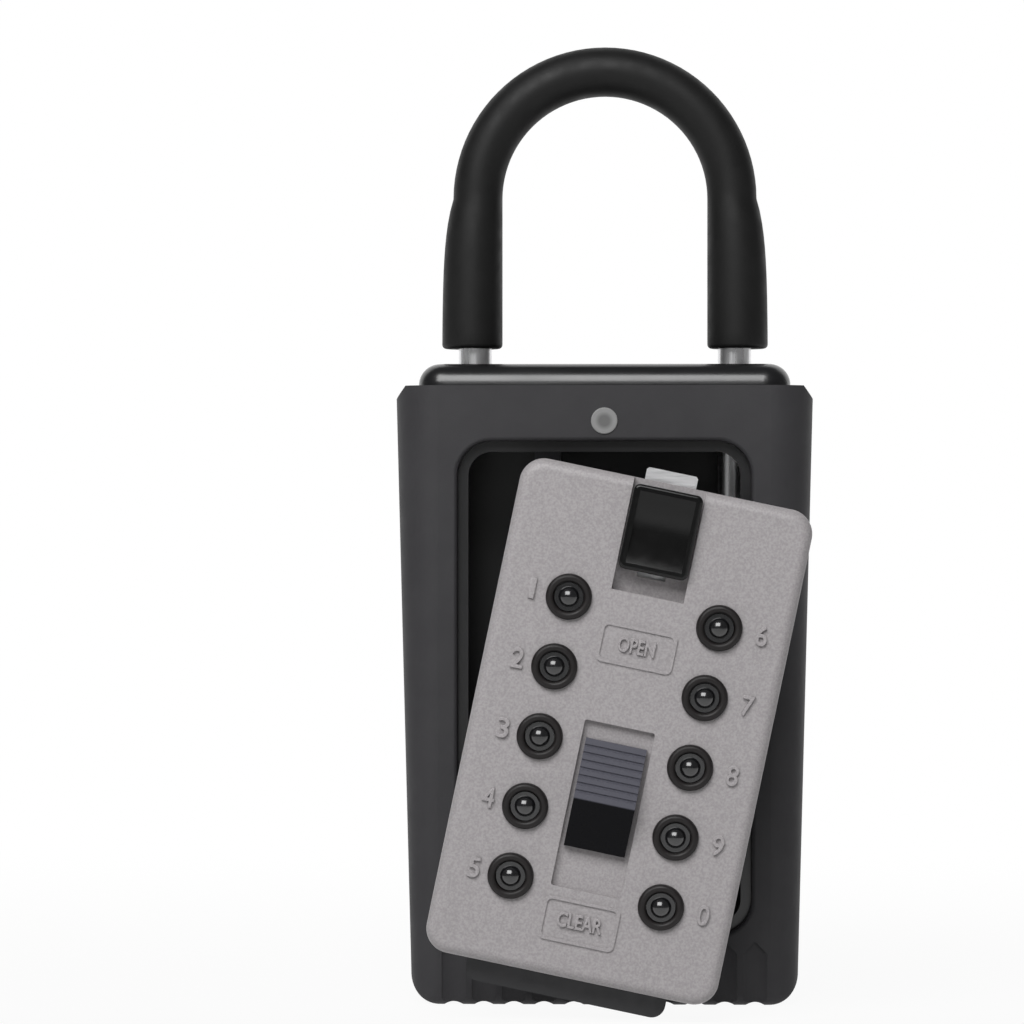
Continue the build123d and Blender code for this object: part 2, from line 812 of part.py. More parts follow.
def make_open_lever():
    half = lever_width / 2
    front = lid_front - lever_rise
    back = lever_floor - lever_lift_gap
    top = lever_bottom + lever_length
    cap = block(-half, half, front, back, lever_bottom, top)
    cap = fillet(cap.edges().filter_by(Axis.Y), lever_edge)
    cap = fillet(cap.edges().group_by(Axis.Y)[0], lever_edge / 2)
    dish = Pos(0, 0, (lever_bottom + top) / 2) \
        * dished_cut(half - lever_edge, lever_length / 2 - lever_edge, lever_lip, front)
    stem = block(-lever_stem_half_width, lever_stem_half_width, back - lever_lip,
                 gate_place + gate_thickness + lever_lip,
                 lever_stem_bottom, lever_stem_bottom + lever_stem_length)
    return cap - dish + stem


def dished_cut(half_across, half_up, depth, front):
    """A shallow hollow for a finger, round across its width."""
    radius = arc_radius(2 * half_up, depth)
    return Pos(0, front - radius + depth, 0) * Rot(0, 90, 0) * Cylinder(radius, 2 * half_across)


def make_latch_bolt():
    half = bolt_width / 2
    bolt = slab(Pos(0, (bolt_foot + bolt_tip) / 2) * Rectangle(bolt_width, bolt_tip - bolt_foot)
                - stem_hole(), tongue_place, tongue_place + bolt_thickness)
    tip = bolt.edges().filter_by(Axis.X).group_by(Axis.Z)[-1].sort_by(Axis.Y)[-1:]
    bolt = chamfer(tip, bolt_bevel)
    corners = [e for e in bolt.edges().filter_by(Axis.Y) if abs(e.center().X) > half - merge]
    return chamfer(corners, bolt_corner)


def make_clear_slider():
    half = slider_width / 2
    floor = slider_floor - slider_gap
    low = lid_front - slider_edge_rise
    high = lid_front - slider_rise
    side = Polyline((floor, slider_top), (low, slider_top), (high, slider_ridge),
                    (low, slider_bottom), (floor, slider_bottom), close=True)
    thumb = extrude(Plane.YZ * make_face(side), half, both=True)
    thumb = fillet(thumb.edges().filter_by(Axis.X).group_by(Axis.Y)[0], slider_edge_rise)
    for i in range(slider_rib_count):
        thumb -= slider_groove((i + 1) / (slider_rib_count + 1), low, high)
    stem = block(-slider_stem_half_width, slider_stem_half_width, floor - slider_gap,
                 clear_bar_place + clear_bar_thickness,
                 slider_stem_top - slider_stem_length, slider_stem_top)
    return thumb + stem


def slider_groove(share, low, high):
    """One of the grooves between the ribs of the slider's ramp."""
    up = slider_top + (slider_ridge - slider_top) * share
    depth = low + (high - low) * share
    return Pos(0, depth, up) * Rot(0, 90, 0) * Cylinder(slider_rib_depth, slider_width + past)


def make_clear_bar():
    height = clear_bar_top - clear_bar_bottom
    middle = (clear_bar_top + clear_bar_bottom) / 2
    bar = Pos(0, middle) * RectangleRounded(2 * clear_bar_half_width, height, lever_edge)
    stem_middle = slider_stem_top - slider_stem_length / 2
    gap = 2 * stake_gap
    bar -= Pos(0, stem_middle) * Rectangle(2 * slider_stem_half_width + gap, slider_stem_length + gap)
    return slab(bar, clear_bar_place, clear_bar_place + clear_bar_thickness)


def make_works_spring(ledge_top, moving_foot):
    """A spring behind the lid cover, from a fixed ledge up to a moving part."""
    length = moving_foot - ledge_top - 2 * spring_seat_gap
    coil = spring(works_spring_radius, length, works_spring_turns, spring_wire)
    return Pos(0, works_spring_radius + 2 * spring_wire, ledge_top + spring_seat_gap) * coil


pieces = {
    "case_body": make_case_body(),
    "bumper_boot": make_bumper_boot(),
    "front_disc": make_front_disc(),
    "shackle": make_shackle(),
    "shackle_sleeve": make_shackle_sleeve(),
    "shackle_clip": make_shackle_clip(),
    "shackle_latch": make_shackle_latch(),
    "latch_cover": make_latch_cover(),
    "latch_cover_screws": make_latch_cover_screws(),
}

lid_pieces = {
    "lid_cover": make_lid_cover(),
    "lid_housing": make_lid_housing(),
    "housing_screws": make_housing_screws(),
    "centre_screw": make_centre_screw(),
    "centre_bush": make_centre_bush(),
    "lid_tongue": make_lid_tongue(),
    "tongue_screws": make_tongue_screws(),
    "button_guards": make_button_guards(),
    "gate_plate": make_gate_plate(),
    "open_lever": make_open_lever(),
    "latch_bolt": make_latch_bolt(),
    "bolt_spring": make_works_spring(bolt_ledge_top, bolt_foot),
    "clear_slider": make_clear_slider(),
    "clear_bar": make_clear_bar(),
    "clear_spring": make_works_spring(clear_ledge_top, clear_bar_bottom),
}
for digit, across, up in button_places():
    lid_pieces[f"button_{digit}"] = make_button(across, up)
    lid_pieces[f"code_pin_{digit}"] = make_code_pin(across, up)
    lid_pieces[f"button_spring_{digit}"] = make_button_spring(across, up)

for name, shape in lid_pieces.items():
    pieces[name] = place_lid(shape)
for name, shape in pieces.items():
    export_step(shape, f"parts/{name}.step")
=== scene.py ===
# %% [markdown]
# # A portable key safe
# The safe is a metal box in a rubbery boot, hung by a shackle. Its lid carries ten push buttons
# and is shown lifted off, a little rolled, in front of the open box.
#
# Its solids come from a CAD frame and never move here. This lesson gives each of them its finish,
# models the soft sleeve on the shackle and the raised marks on the lid, and then sets up a small
# studio with a camera.

# %% Load the frame
import json
import math

import bmesh
import bpy
from mathutils import Matrix, Vector


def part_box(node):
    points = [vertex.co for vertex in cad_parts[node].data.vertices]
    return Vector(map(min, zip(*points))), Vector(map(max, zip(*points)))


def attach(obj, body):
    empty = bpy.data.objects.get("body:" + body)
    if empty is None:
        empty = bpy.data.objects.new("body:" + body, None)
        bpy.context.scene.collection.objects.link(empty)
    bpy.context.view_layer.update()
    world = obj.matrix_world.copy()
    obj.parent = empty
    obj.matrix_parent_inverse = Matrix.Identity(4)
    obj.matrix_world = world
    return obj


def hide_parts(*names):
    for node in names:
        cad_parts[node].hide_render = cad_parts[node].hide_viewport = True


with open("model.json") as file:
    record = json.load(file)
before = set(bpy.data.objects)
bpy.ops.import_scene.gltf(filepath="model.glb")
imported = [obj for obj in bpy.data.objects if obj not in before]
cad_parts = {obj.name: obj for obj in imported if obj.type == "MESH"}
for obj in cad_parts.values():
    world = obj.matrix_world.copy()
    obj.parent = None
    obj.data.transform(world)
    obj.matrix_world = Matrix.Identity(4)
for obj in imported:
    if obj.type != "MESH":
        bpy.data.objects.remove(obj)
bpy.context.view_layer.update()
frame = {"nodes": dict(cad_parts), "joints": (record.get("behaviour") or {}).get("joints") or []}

nodes = frame["nodes"]
mm = 1000  # in a metre, for what is printed

# %% [markdown]
# ## How a finish is made
# Every surface of the safe is one material: a paint, a plastic, a vinyl or a metal. A picture of
# the surface could be wrapped round it, but a few nodes of Blender's own follow any shape, never
# blur and need no file. So each finish starts as one Principled shader with a plain colour and a
# roughness, and is then put on the solids that the real maker would give it.

# %% A plain finish, and giving it to solids
def finish(name, colour, roughness, **sockets):
    """A material of one colour and roughness, with more of the shader's sockets by name."""
    material = bpy.data.materials.new(name)
    material.use_nodes = True
    shader = material.node_tree.nodes["Principled BSDF"]
    shader.inputs["Base Color"].default_value = (*colour, 1)
    shader.inputs["Roughness"].default_value = roughness
    for socket, value in sockets.items():
        shader.inputs[socket.replace("_", " ")].default_value = value
    return material


def give(material, *names):
    """Put a finish on CAD nodes in place of the plain one that they came with."""
    for name in names:
        nodes[name].data.materials.clear()
        nodes[name].data.materials.append(material)
    print(material.name, "on", ", ".join(names))


# %% [markdown]
# ## Unevenness
# No real surface is quite even, and the eye notices when it is. Dents and smears could be modelled
# one by one, but a noise texture supplies as many as are wanted. It reads Object coordinates, which
# are metres here, so a scale of 1000 gives grains about a millimetre across.

# %% Noise
def object_place(material):
    """The place of each point of the surface, in metres."""
    return material.node_tree.nodes.new("ShaderNodeTexCoord").outputs["Object"]


def noise(material, scale, detail=2.0, stretch=(1, 1, 1)):
    """A noise with so many grains in a metre, stretched along the axes if asked."""
    tree = material.node_tree
    mapping = tree.nodes.new("ShaderNodeMapping")
    mapping.inputs["Scale"].default_value = stretch
    texture = tree.nodes.new("ShaderNodeTexNoise")
    texture.inputs["Scale"].default_value = scale
    texture.inputs["Detail"].default_value = detail
    tree.links.new(object_place(material), mapping.inputs["Vector"])
    tree.links.new(mapping.outputs["Vector"], texture.inputs["Vector"])
    return texture.outputs["Fac"]


# %% [markdown]
# A noise does two things here. The gloss of nearly every surface drifts a little with it, and a
# Map Range node stretches it to the span of gloss that is wanted. Paint, vinyl and textured
# plastic also rise in small grains. Real displacement would need millions of faces for grains
# that are too small to be seen from the side, so they are bump.

# %% Gloss that drifts, grains that rise
def stretched(material, value, low, high, start=0.0, end=1.0):
    """A value that runs from low to high, made to run from start to end and no further."""
    tree = material.node_tree
    span = tree.nodes.new("ShaderNodeMapRange")
    span.inputs["From Min"].default_value = low
    span.inputs["From Max"].default_value = high
    span.inputs["To Min"].default_value = start
    span.inputs["To Max"].default_value = end
    tree.links.new(value, span.inputs["Value"])
    return span.outputs["Result"]


def vary_gloss(material, value, smooth, rough, low=0.3, high=0.7):
    """Let the roughness run from smooth to rough as a value runs from low to high."""
    tree = material.node_tree
    drift = stretched(material, value, low, high, smooth, rough)
    tree.links.new(drift, tree.nodes["Principled BSDF"].inputs["Roughness"])


def grain(material, value, depth, strength=0.5):
    """Raise the surface with a noise, as bump, to a depth in metres."""
    tree = material.node_tree
    bump = tree.nodes.new("ShaderNodeBump")
    bump.inputs["Strength"].default_value = strength
    bump.inputs["Distance"].default_value = depth
    tree.links.new(value, bump.inputs["Height"])
    tree.links.new(bump.outputs["Normal"], tree.nodes["Principled BSDF"].inputs["Normal"])


# %% [markdown]
# ## The case
# The case is a die casting under a hard black gloss coat, and its rounded top edge shows one
# long band of light. A single glossy shader could do it, but the real coat flows into a faint
# orange peel over a duller base. So a clear coat lies over a near-black base, with a very shallow
# soft bump and a slow drift of the gloss, and the band comes out soft at its sides.

# %% Case paint
case_paint = finish("case_paint", (0.005, 0.005, 0.006), 0.3, Coat_Weight=0.6,
                    Coat_Roughness=0.2)
grain(case_paint, noise(case_paint, 700, 1.0), 0.00002, 0.25)
vary_gloss(case_paint, noise(case_paint, 90), 0.28, 0.38)
give(case_paint, "case_body")

# %% [markdown]
# ## The boot
# The boot is moulded vinyl, stretched over the case to keep the case from scratching a door. It is
# dull and dark grey, with a leathery grain of about a third of a millimetre from the mould. One
# flat grey would do for vinyl, which is coloured all through, but it would look drawn. So the
# colour moves between two greys that are nearly the same, on a ramp, and the gloss drifts as
# slightly.

# %% Boot vinyl
def mottle(material, value, dark, light, low=0.35, high=0.65):
    """Let the colour run from dark to light as a value runs from low to high."""
    tree = material.node_tree
    ramp = tree.nodes.new("ShaderNodeValToRGB")
    first, last = ramp.color_ramp.elements
    first.color, last.color = (*dark, 1), (*light, 1)
    tree.links.new(stretched(material, value, low, high), ramp.inputs["Fac"])
    tree.links.new(ramp.outputs["Color"], tree.nodes["Principled BSDF"].inputs["Base Color"])


boot_vinyl = finish("boot_vinyl", (0.036, 0.035, 0.038), 0.55, Specular_IOR_Level=0.35)
mottle(boot_vinyl, noise(boot_vinyl, 160, 4.0), (0.034, 0.033, 0.036), (0.038, 0.037, 0.040))
vary_gloss(boot_vinyl, noise(boot_vinyl, 240, 3.0), 0.53, 0.58)
grain(boot_vinyl, noise(boot_vinyl, 3200, 3.0), 0.00004, 0.35)
give(boot_vinyl, "bumper_boot")

# %% [markdown]
# ## The front disc
# A small pale plate is set into the boot above the window, a light ring round a darker middle.
# The ring could be a second solid, but it hardly stands out, so it is only a colour. That colour
# changes at a place and not by chance, so the ramp takes a distance in metres where the boot's
# took a noise. The plate's centre is read from the node's box.

# %% Disc grey
disc_dark_radius = 0.0010
disc_light_radius = 0.0018


def distance_from(material, centre):
    """The distance of each point of the surface from a centre, in metres."""
    tree = material.node_tree
    apart = tree.nodes.new("ShaderNodeVectorMath")
    apart.operation = "DISTANCE"
    apart.inputs[1].default_value = centre
    tree.links.new(object_place(material), apart.inputs[0])
    return apart.outputs["Value"]


disc_low, disc_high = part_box("front_disc")
disc_centre = (Vector(disc_low) + Vector(disc_high)) / 2
disc_grey = finish("disc_grey", (0.24, 0.24, 0.24), 0.5)
mottle(disc_grey, distance_from(disc_grey, disc_centre), (0.14, 0.14, 0.14),
       (0.27, 0.27, 0.27), disc_dark_radius, disc_light_radius)
vary_gloss(disc_grey, noise(disc_grey, 900, 3.0), 0.42, 0.58)
give(disc_grey, "front_disc")

# %% [markdown]
# ## The bar and the bolt
# The shackle is a drawn and plated steel bar, with faint draw lines along it, and the bolt is a
# pressed tab of the same steel, a little duller. A metal takes its look from what it reflects,
# so its colour stays plain and only the gloss drifts. The lines could follow the bar's curve, but
# they show only on the legs, so the noise is simply stretched along Z, and along X on the bolt.

# %% Bright steel
bright_steel = finish("bright_steel", (0.86, 0.86, 0.87), 0.28, Metallic=1.0)
vary_gloss(bright_steel, noise(bright_steel, 2500, 2.0, (1, 1, 0.03)), 0.26, 0.34)
give(bright_steel, "shackle")

bolt_steel = finish("bolt_steel", (0.86, 0.86, 0.87), 0.34, Metallic=1.0)
vary_gloss(bolt_steel, noise(bolt_steel, 1800, 2.0, (0.1, 1, 1)), 0.28, 0.42)
give(bolt_steel, "latch_bolt")

# %% [markdown]
# ## The sleeve's vinyl and its sizes
# A black vinyl tube covers the bar, so that the shackle doesn't rattle or scratch. It is slim
# round the crown, swells just below it and is thickest at its two ends, while its inner sides stay
# upright. The solid in the frame is a plain cone there, so the sleeve is modelled here and stands
# for that solid. Its sizes could all be copied, but its lower end is read from the solid, because
# the bare steel starts there.

# %% Sleeve vinyl and sizes
sleeve_vinyl = finish("sleeve_vinyl", (0.009, 0.009, 0.009), 0.55, Specular_IOR_Level=0.25)
vary_gloss(sleeve_vinyl, noise(sleeve_vinyl, 300, 3.0), 0.44, 0.58)
grain(sleeve_vinyl, noise(sleeve_vinyl, 2600, 2.0), 0.00003, 0.3)

sleeve_inner_side = 0.01975
crown_radius = 0.00475
crown_centre = 0.1529
sleeve_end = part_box("shackle_sleeve")[0][2]
sleeve_flare = 0.0011
swell_length = 0.007
end_round = 0.0008
print("sleeve from", round(crown_centre * mm, 1), "down to", round(sleeve_end * mm, 1), "mm")

# %% [markdown]
# A curve with a bevel could make a tube, but not one that swells while its inner side stays
# straight. So each leg is made of rings, from the crown down. A ring has its own height and
# radius, and its centre lies as far out as keeps the inner side in place. The swell is quick at
# first and then levels off, as an exponential does, and the last few rings round the end.

# %% The rings of a leg
swell_rings = 12
round_rings = 4


def leg_rings():
    """Height, radius and distance from the middle of each ring, from the crown to the end."""
    rings = []
    for step in range(1, swell_rings + 1):
        drop = (crown_centre - sleeve_end - end_round) * step / swell_rings
        radius = crown_radius + sleeve_flare * (1 - math.exp(-drop / swell_length))
        rings.append((crown_centre - drop, radius, sleeve_inner_side + radius))
    for step in range(1, round_rings + 1):
        turn = math.pi / 2 * step / round_rings
        height = sleeve_end + end_round * (1 - math.sin(turn))
        end_radius = radius - end_round * (1 - math.cos(turn))
        rings.append((height, end_radius, sleeve_inner_side + radius))
    return rings


widest = max(radius for height, radius, out in leg_rings())
print(len(leg_rings()), "rings in a leg, the widest", round(2 * widest * mm, 2), "mm across")

# %% [markdown]
# ## The sleeve's outer skin
# Half a torus would do for the crown, but a circle spun half a turn round the Y axis leaves two
# clean open ends to go on from. Operators act on what is selected, so a ring is picked by its
# height and its side just before it is extruded. The object is added first and emptied, so that
# it sits at the origin while its place is in its mesh.

# %% The crown
around = 48
same_height = 1e-6


def half_turn(radius, across, height):
    """Add a circle at the right end of the crown and spin it over to the left."""
    bpy.ops.mesh.select_all(action="DESELECT")
    bpy.ops.mesh.primitive_circle_add(vertices=around, radius=radius, fill_type="NOTHING",
                                      location=(across, 0, height))
    bpy.ops.mesh.spin(steps=around, angle=math.pi, center=(0, 0, height), axis=(0, 1, 0))


def pick_ring(height, side):
    """Select only the sleeve's points at one height and on one side."""
    bpy.ops.mesh.select_all(action="DESELECT")
    work = bmesh.from_edit_mesh(sleeve.data)
    for point in work.verts:
        if abs(point.co.z - height) < same_height and point.co.x * side > 0:
            point.select = True
    work.select_flush(True)
    bmesh.update_edit_mesh(sleeve.data)


bpy.ops.object.select_all(action="DESELECT")
bpy.ops.mesh.primitive_circle_add(vertices=around, radius=crown_radius, fill_type="NOTHING",
                                  location=(0, 0, 0))
sleeve = bpy.context.object
sleeve.name = "sleeve_tube"
bpy.ops.object.mode_set(mode="EDIT")
bpy.ops.mesh.delete(type="VERT")
half_turn(crown_radius, sleeve_inner_side + crown_radius, crown_centre)
print("crown of", around, "by", around, "faces")

# %% [markdown]
# The legs could be cylinders joined to the crown, but then a seam would show. Each one grows out
# of the crown's own end instead, ring by ring: an extrusion moves the ring to its new centre,
# and a resize about that centre gives it its new radius.

# %% The legs
def next_ring(centre, radius, new_centre, new_radius):
    """Extrude the selected ring to a new centre and give it its new radius."""
    move = [new - old for new, old in zip(new_centre, centre)]
    bpy.ops.mesh.extrude_region_move(TRANSFORM_OT_translate={"value": move})
    size = new_radius / radius
    bpy.ops.transform.resize(value=(size, size, 1), center_override=new_centre)


for side in (-1, 1):
    centre, radius = (side * (sleeve_inner_side + crown_radius), 0, crown_centre), crown_radius
    pick_ring(crown_centre, side)
    for height, new_radius, out in leg_rings():
        new_centre = (side * out, 0, height)
        next_ring(centre, radius, new_centre, new_radius)
        centre, radius = new_centre, new_radius
    print("leg ends at", [round(x * mm, 2) for x in centre], "mm")

# %% [markdown]
# ## The sleeve's bore
# The tube has a wall, and at its ends the bar comes out of a hole. Solidify would give the skin
# an even wall, but the wall is thicker where the tube swells. So a second skin is spun and
# extruded at the size of the bar, plus a little room, and the two are bridged at the ends. The
# normals are made to point outwards last, when the shell is closed.

# %% Bore and ends
bar_offset = 0.025
bar_crown = 0.1515
bore_radius = 0.00325
smooth_angle = math.radians(40)
half_turn(bore_radius, bar_offset, bar_crown)
for side in (-1, 1):
    pick_ring(bar_crown, side)
    bpy.ops.mesh.extrude_region_move(
        TRANSFORM_OT_translate={"value": (0, 0, sleeve_end - bar_crown)})
    pick_ring(sleeve_end, side)
    bpy.ops.mesh.bridge_edge_loops()
bpy.ops.mesh.select_all(action="SELECT")
bpy.ops.mesh.normals_make_consistent(inside=False)
bpy.ops.object.mode_set(mode="OBJECT")
bpy.ops.object.shade_smooth_by_angle(angle=smooth_angle)
sleeve.data.materials.append(sleeve_vinyl)
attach(sleeve, "shackle")
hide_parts("shackle_sleeve")

# %% [markdown]
# A shell is sound when each edge has two faces and its volume is positive. Both could be looked
# for by eye, but they are quickly counted, together with the span along each axis, because a wrong
# extrusion shows there at once.

# %% The sleeve measured
skin = bmesh.new()
skin.from_mesh(sleeve.data)
open_edges = sum(len(edge.link_faces) != 2 for edge in skin.edges)
print("sleeve", len(skin.faces), "faces,", open_edges, "open edges,",
      round(skin.calc_volume() * mm ** 3), "mm3")
for axis, letter in enumerate("XYZ"):
    reach = [point.co[axis] * mm for point in skin.verts]
    print(letter, "from", round(min(reach), 2), "to", round(max(reach), 2), "mm")
skin.free()

# %% [markdown]
# ## Small metal pieces
# The clip, the latch's cover, the screws, plates and springs are zinc-plated steel: bright, but
# greyer and rougher than the bar. The latch is a zinc casting with a dark plating, so it is only
# partly a metal to the shader. The code pins and the bush are turned brass. Each piece could have
# a finish of its own, but small pieces are made and plated by the bucket, so they share three.

# %% Plated steel, dark zinc and brass
digits = "1234567890"

plain_steel = finish("plain_steel", (0.46, 0.46, 0.47), 0.32, Metallic=1.0)
vary_gloss(plain_steel, noise(plain_steel, 1500, 3.0), 0.24, 0.42)
give(plain_steel, "shackle_clip", "latch_cover", "latch_cover_screws", "tongue_screws",
     "housing_screws", "centre_screw", "gate_plate", "clear_bar", "bolt_spring", "clear_spring",
     *[f"button_spring_{digit}" for digit in digits])

latch_metal = finish("latch_metal", (0.06, 0.06, 0.065), 0.38, Metallic=0.6)
vary_gloss(latch_metal, noise(latch_metal, 1200, 3.0), 0.30, 0.46)
give(latch_metal, "shackle_latch")

pin_brass = finish("pin_brass", (0.60, 0.43, 0.16), 0.28, Metallic=1.0)
vary_gloss(pin_brass, noise(pin_brass, 1600, 3.0), 0.20, 0.36)
give(pin_brass, "centre_bush", *[f"code_pin_{digit}" for digit in digits])

# %% [markdown]
# ## The lid's paint
# The lid is a die casting in a warm grey, speckled paint: fine light and dark flecks in a satin
# coat. The flecks could be a colour alone, but they stand a little proud on the real lid and
# catch the light. So one noise, of about a third of a millimetre, drives both colour and bump.

# %% Lid paint
lid_paint = finish("lid_paint", (0.376, 0.352, 0.361), 0.45)
flecks = noise(lid_paint, 2600, 2.0)
mottle(lid_paint, flecks, (0.315, 0.297, 0.303), (0.390, 0.369, 0.376), 0.36, 0.64)
grain(lid_paint, flecks, 0.00004, 0.35)
give(lid_paint, "lid_cover")

# %% [markdown]
# ## Behind the lid
# The housing is a textured black plastic tray that closes the works in. The tongue below it is
# coated metal and hooks behind the sill of the window. Both are seen from the side and from
# behind. One black could serve for both, but the tongue's coat is greyer and has a soft shine.

# %% Housing and tongue
housing_black = finish("housing_black", (0.020, 0.020, 0.022), 0.5)
grain(housing_black, noise(housing_black, 3000, 2.0), 0.00005, 0.4)
vary_gloss(housing_black, noise(housing_black, 400), 0.42, 0.58)
give(housing_black, "lid_housing")

tongue_dark = finish("tongue_dark", (0.040, 0.040, 0.042), 0.4, Metallic=0.4)
grain(tongue_dark, noise(tongue_dark, 1800, 2.0), 0.00003, 0.3)
vary_gloss(tongue_dark, noise(tongue_dark, 500), 0.34, 0.48)
give(tongue_dark, "lid_tongue")

# %% [markdown]
# ## The buttons and the lever
# Each button is a black dome in a satin black ring, and a finger keeps it polished. What tells
# dome from ring is one small highlight, so the dome has a full clear coat and the ring none. The
# open lever is a flat gloss cap. It could share the dome's coat, but it has to stay nearly black
# across its whole face, so its reflection is turned down instead.

# %% Rings, domes and lever
guard_black = finish("guard_black", (0.012, 0.010, 0.010), 0.42, Specular_IOR_Level=0.3)
vary_gloss(guard_black, noise(guard_black, 900), 0.36, 0.5)
give(guard_black, "button_guards")

button_black = finish("button_black", (0.007, 0.007, 0.008), 0.2, Coat_Weight=1.0,
                      Coat_Roughness=0.1)
vary_gloss(button_black, noise(button_black, 700), 0.16, 0.26)
give(button_black, *[f"button_{digit}" for digit in digits])

lever_black = finish("lever_black", (0.006, 0.006, 0.006), 0.14, Specular_IOR_Level=0.3)
vary_gloss(lever_black, noise(lever_black, 500), 0.10, 0.18)
give(lever_black, "open_lever")

# %% [markdown]
# ## Where the lid is
# The lid turns about one point of the frame, its middle, and rests at the lower end of that
# joint's range. What is placed on the lid could be given in the frame's own numbers, but then
# it would be left behind if the CAD changed. So the middle and the roll are read from the joint.

# %% The lid's middle and roll
lid_turn = next(joint for joint in frame["joints"] if joint["name"] == "lid_turn")
lid_middle = Vector(lid_turn["pos_m"])
lid_roll = -math.radians(lid_turn["range_deg"][0])
lid_up = Vector((math.sin(lid_roll), 0, math.cos(lid_roll)))
print("lid middle", tuple(round(x * mm, 2) for x in lid_middle), "mm, rolled",
      round(math.degrees(lid_roll), 1), "degrees")

# %% [markdown]
# ## The clear slider
# The slider is one satin plastic, a ribbed ramp for the thumb above and a steep face below. The
# ramp faces the lamp above and looks bluish grey, while the face under its ridge is in shade and
# near black. Two materials would need a seam between two sets of faces, so one material paints
# that light and shade: its colour turns from a painted shade to a painted bluish sheen with the
# height along the lid, over a third of a millimetre at the ridge.

# %% Slider plastic, with painted shade and sheen
ridge_below_middle = 0.0131
sheen_shade_blend = (-0.0001, 0.0002)


def height_above(material, origin, direction):
    """How far each point of the surface lies past an origin in one direction, in metres."""
    tree = material.node_tree
    apart = tree.nodes.new("ShaderNodeVectorMath")
    apart.operation = "SUBTRACT"
    apart.inputs[1].default_value = origin
    along = tree.nodes.new("ShaderNodeVectorMath")
    along.operation = "DOT_PRODUCT"
    along.inputs[1].default_value = direction
    tree.links.new(object_place(material), apart.inputs[0])
    tree.links.new(apart.outputs["Vector"], along.inputs[0])
    return along.outputs["Value"]


slider_ridge = lid_middle - ridge_below_middle * lid_up
slider_plastic = finish("slider_plastic", (0.009, 0.009, 0.012), 0.3, Specular_IOR_Level=0.1)
# Painted shade below the ridge, painted bluish sheen on the ramp above it.
mottle(slider_plastic, height_above(slider_plastic, slider_ridge, lid_up),
       (0.003, 0.003, 0.004), (0.085, 0.085, 0.105), *sheen_shade_blend)
vary_gloss(slider_plastic, noise(slider_plastic, 900, 3.0), 0.24, 0.38)
give(slider_plastic, "clear_slider")

# %% [markdown]
# ## The numbers and words on the lid
# They are cast with the lid and painted with it, so they are the lid's colour and show only by
# their edges. Bump would look right from the front and flat from the side, so they are solid.
# Blender's own letters are drawn flat, given a thickness and a tiny round edge, made a mesh and
# brought to their width. Only then are they laid on the lid's rolled face.

# %% A raised mark
lid_thickness = 0.005
mark_rise = 0.0005
mark_edge = 0.0001
capital_share = 0.72


def lid_place(across, up, out):
    """The matrix that takes a mark drawn flat, X across and Y up, to a place on the lid."""
    turn = Matrix.Rotation(lid_roll, 4, "Y")
    upright = Matrix.Rotation(math.pi / 2, 4, "X")
    return Matrix.Translation(lid_middle) @ turn @ Matrix.Translation((across, -out, up)) @ upright


def raised_mark(name, text, height, width, across, up):
    """Text standing out of the lid's face, centred on a place across and up the lid."""
    bpy.ops.object.select_all(action="DESELECT")
    bpy.ops.object.text_add()
    mark = bpy.context.object
    mark.name = name
    mark.data.body = text
    mark.data.align_x = "CENTER"
    mark.data.align_y = "CENTER"
    mark.data.size = height / capital_share
    mark.data.extrude = mark_rise / 2
    mark.data.bevel_depth = mark_edge
    mark.data.bevel_resolution = 2
    mark.data.resolution_u = 6
    bpy.ops.object.convert(target="MESH")
    mark.data.transform(Matrix.Diagonal((width / mark.dimensions.x, 1, 1, 1)))
    mark.data.transform(lid_place(across, up, lid_thickness + mark_rise / 2))
    mark.data.materials.clear()
    mark.data.materials.append(lid_paint)
    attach(mark, "lid")


# %% [markdown]
# The numbers stand in two columns, outside the buttons: 1 to 5 down the left side, and 6 to 9
# and 0 down the right. The words stand in the two frames of the lid cover. Each mark could be
# placed by hand, but the rows are even, so a first row and a pitch give all ten numbers. Only the
# 1 is narrower than the rest.

# %% Ten numbers and two words
digit_height = 0.0037
digit_width = 0.0022
digit_columns = (-0.0206, 0.0216)
first_row = 0.0220
row_pitch = 0.01286
rows = 5
for row in range(rows):
    up = first_row - row * row_pitch
    for digit, across in zip((digits[row], digits[row + rows]), digit_columns):
        width = digit_width / 2 if digit == "1" else digit_width
        raised_mark(f"digit_{digit}", digit, digit_height, width, across, up)

word_height = 0.0027
raised_mark("open_word", "OPEN", word_height, width=0.0068, across=0, up=0.0155)
raised_mark("clear_word", "CLEAR", word_height, width=0.0083, across=0, up=-0.0353)
print("raised marks:", len(digits), "numbers and 2 words")

# %% [markdown]
# ## Floor and backdrop
# The safe stands on a pale floor in front of a pale backdrop. More light would turn them white,
# but it would wash out the safe's greys too. So they are white by a share of their own light, and
# only to the camera and in reflections. Light Path tells which ray looks, and a share of 1 is
# plain white.

# %% Which rays see white
def joined(tree, operation, first, second):
    """Two values joined by one math node."""
    node = tree.nodes.new("ShaderNodeMath")
    node.operation = operation
    tree.links.new(first, node.inputs[0])
    tree.links.new(second, node.inputs[1])
    return node.outputs[0]


def looking_ray(tree):
    """1 for a ray from the camera, a reflection or glass, and 0 for one that lights things."""
    path = tree.nodes.new("ShaderNodeLightPath").outputs
    seen = joined(tree, "MAXIMUM", path["Is Camera Ray"], path["Is Glossy Ray"])
    return joined(tree, "MAXIMUM", seen, path["Is Transmission Ray"])


# %% [markdown]
# The share isn't the same all over the floor. Under the safe it is a little below 1, so that the
# shadow still falls there, and behind the safe it is 1. In front, where the camera doesn't look,
# it fades, so that the black parts reflect less of it. Three floors side by side would show their
# seams, so a ramp along Y holds the three shares, with soft steps between them.

# %% The share of white
ramp_reach = 1.0
floor_shares = [(-0.4, 0.2), (-0.02, 0.94), (0.35, 1.0)]
backdrop_shares = [(-ramp_reach, 1.0), (ramp_reach, 1.0)]


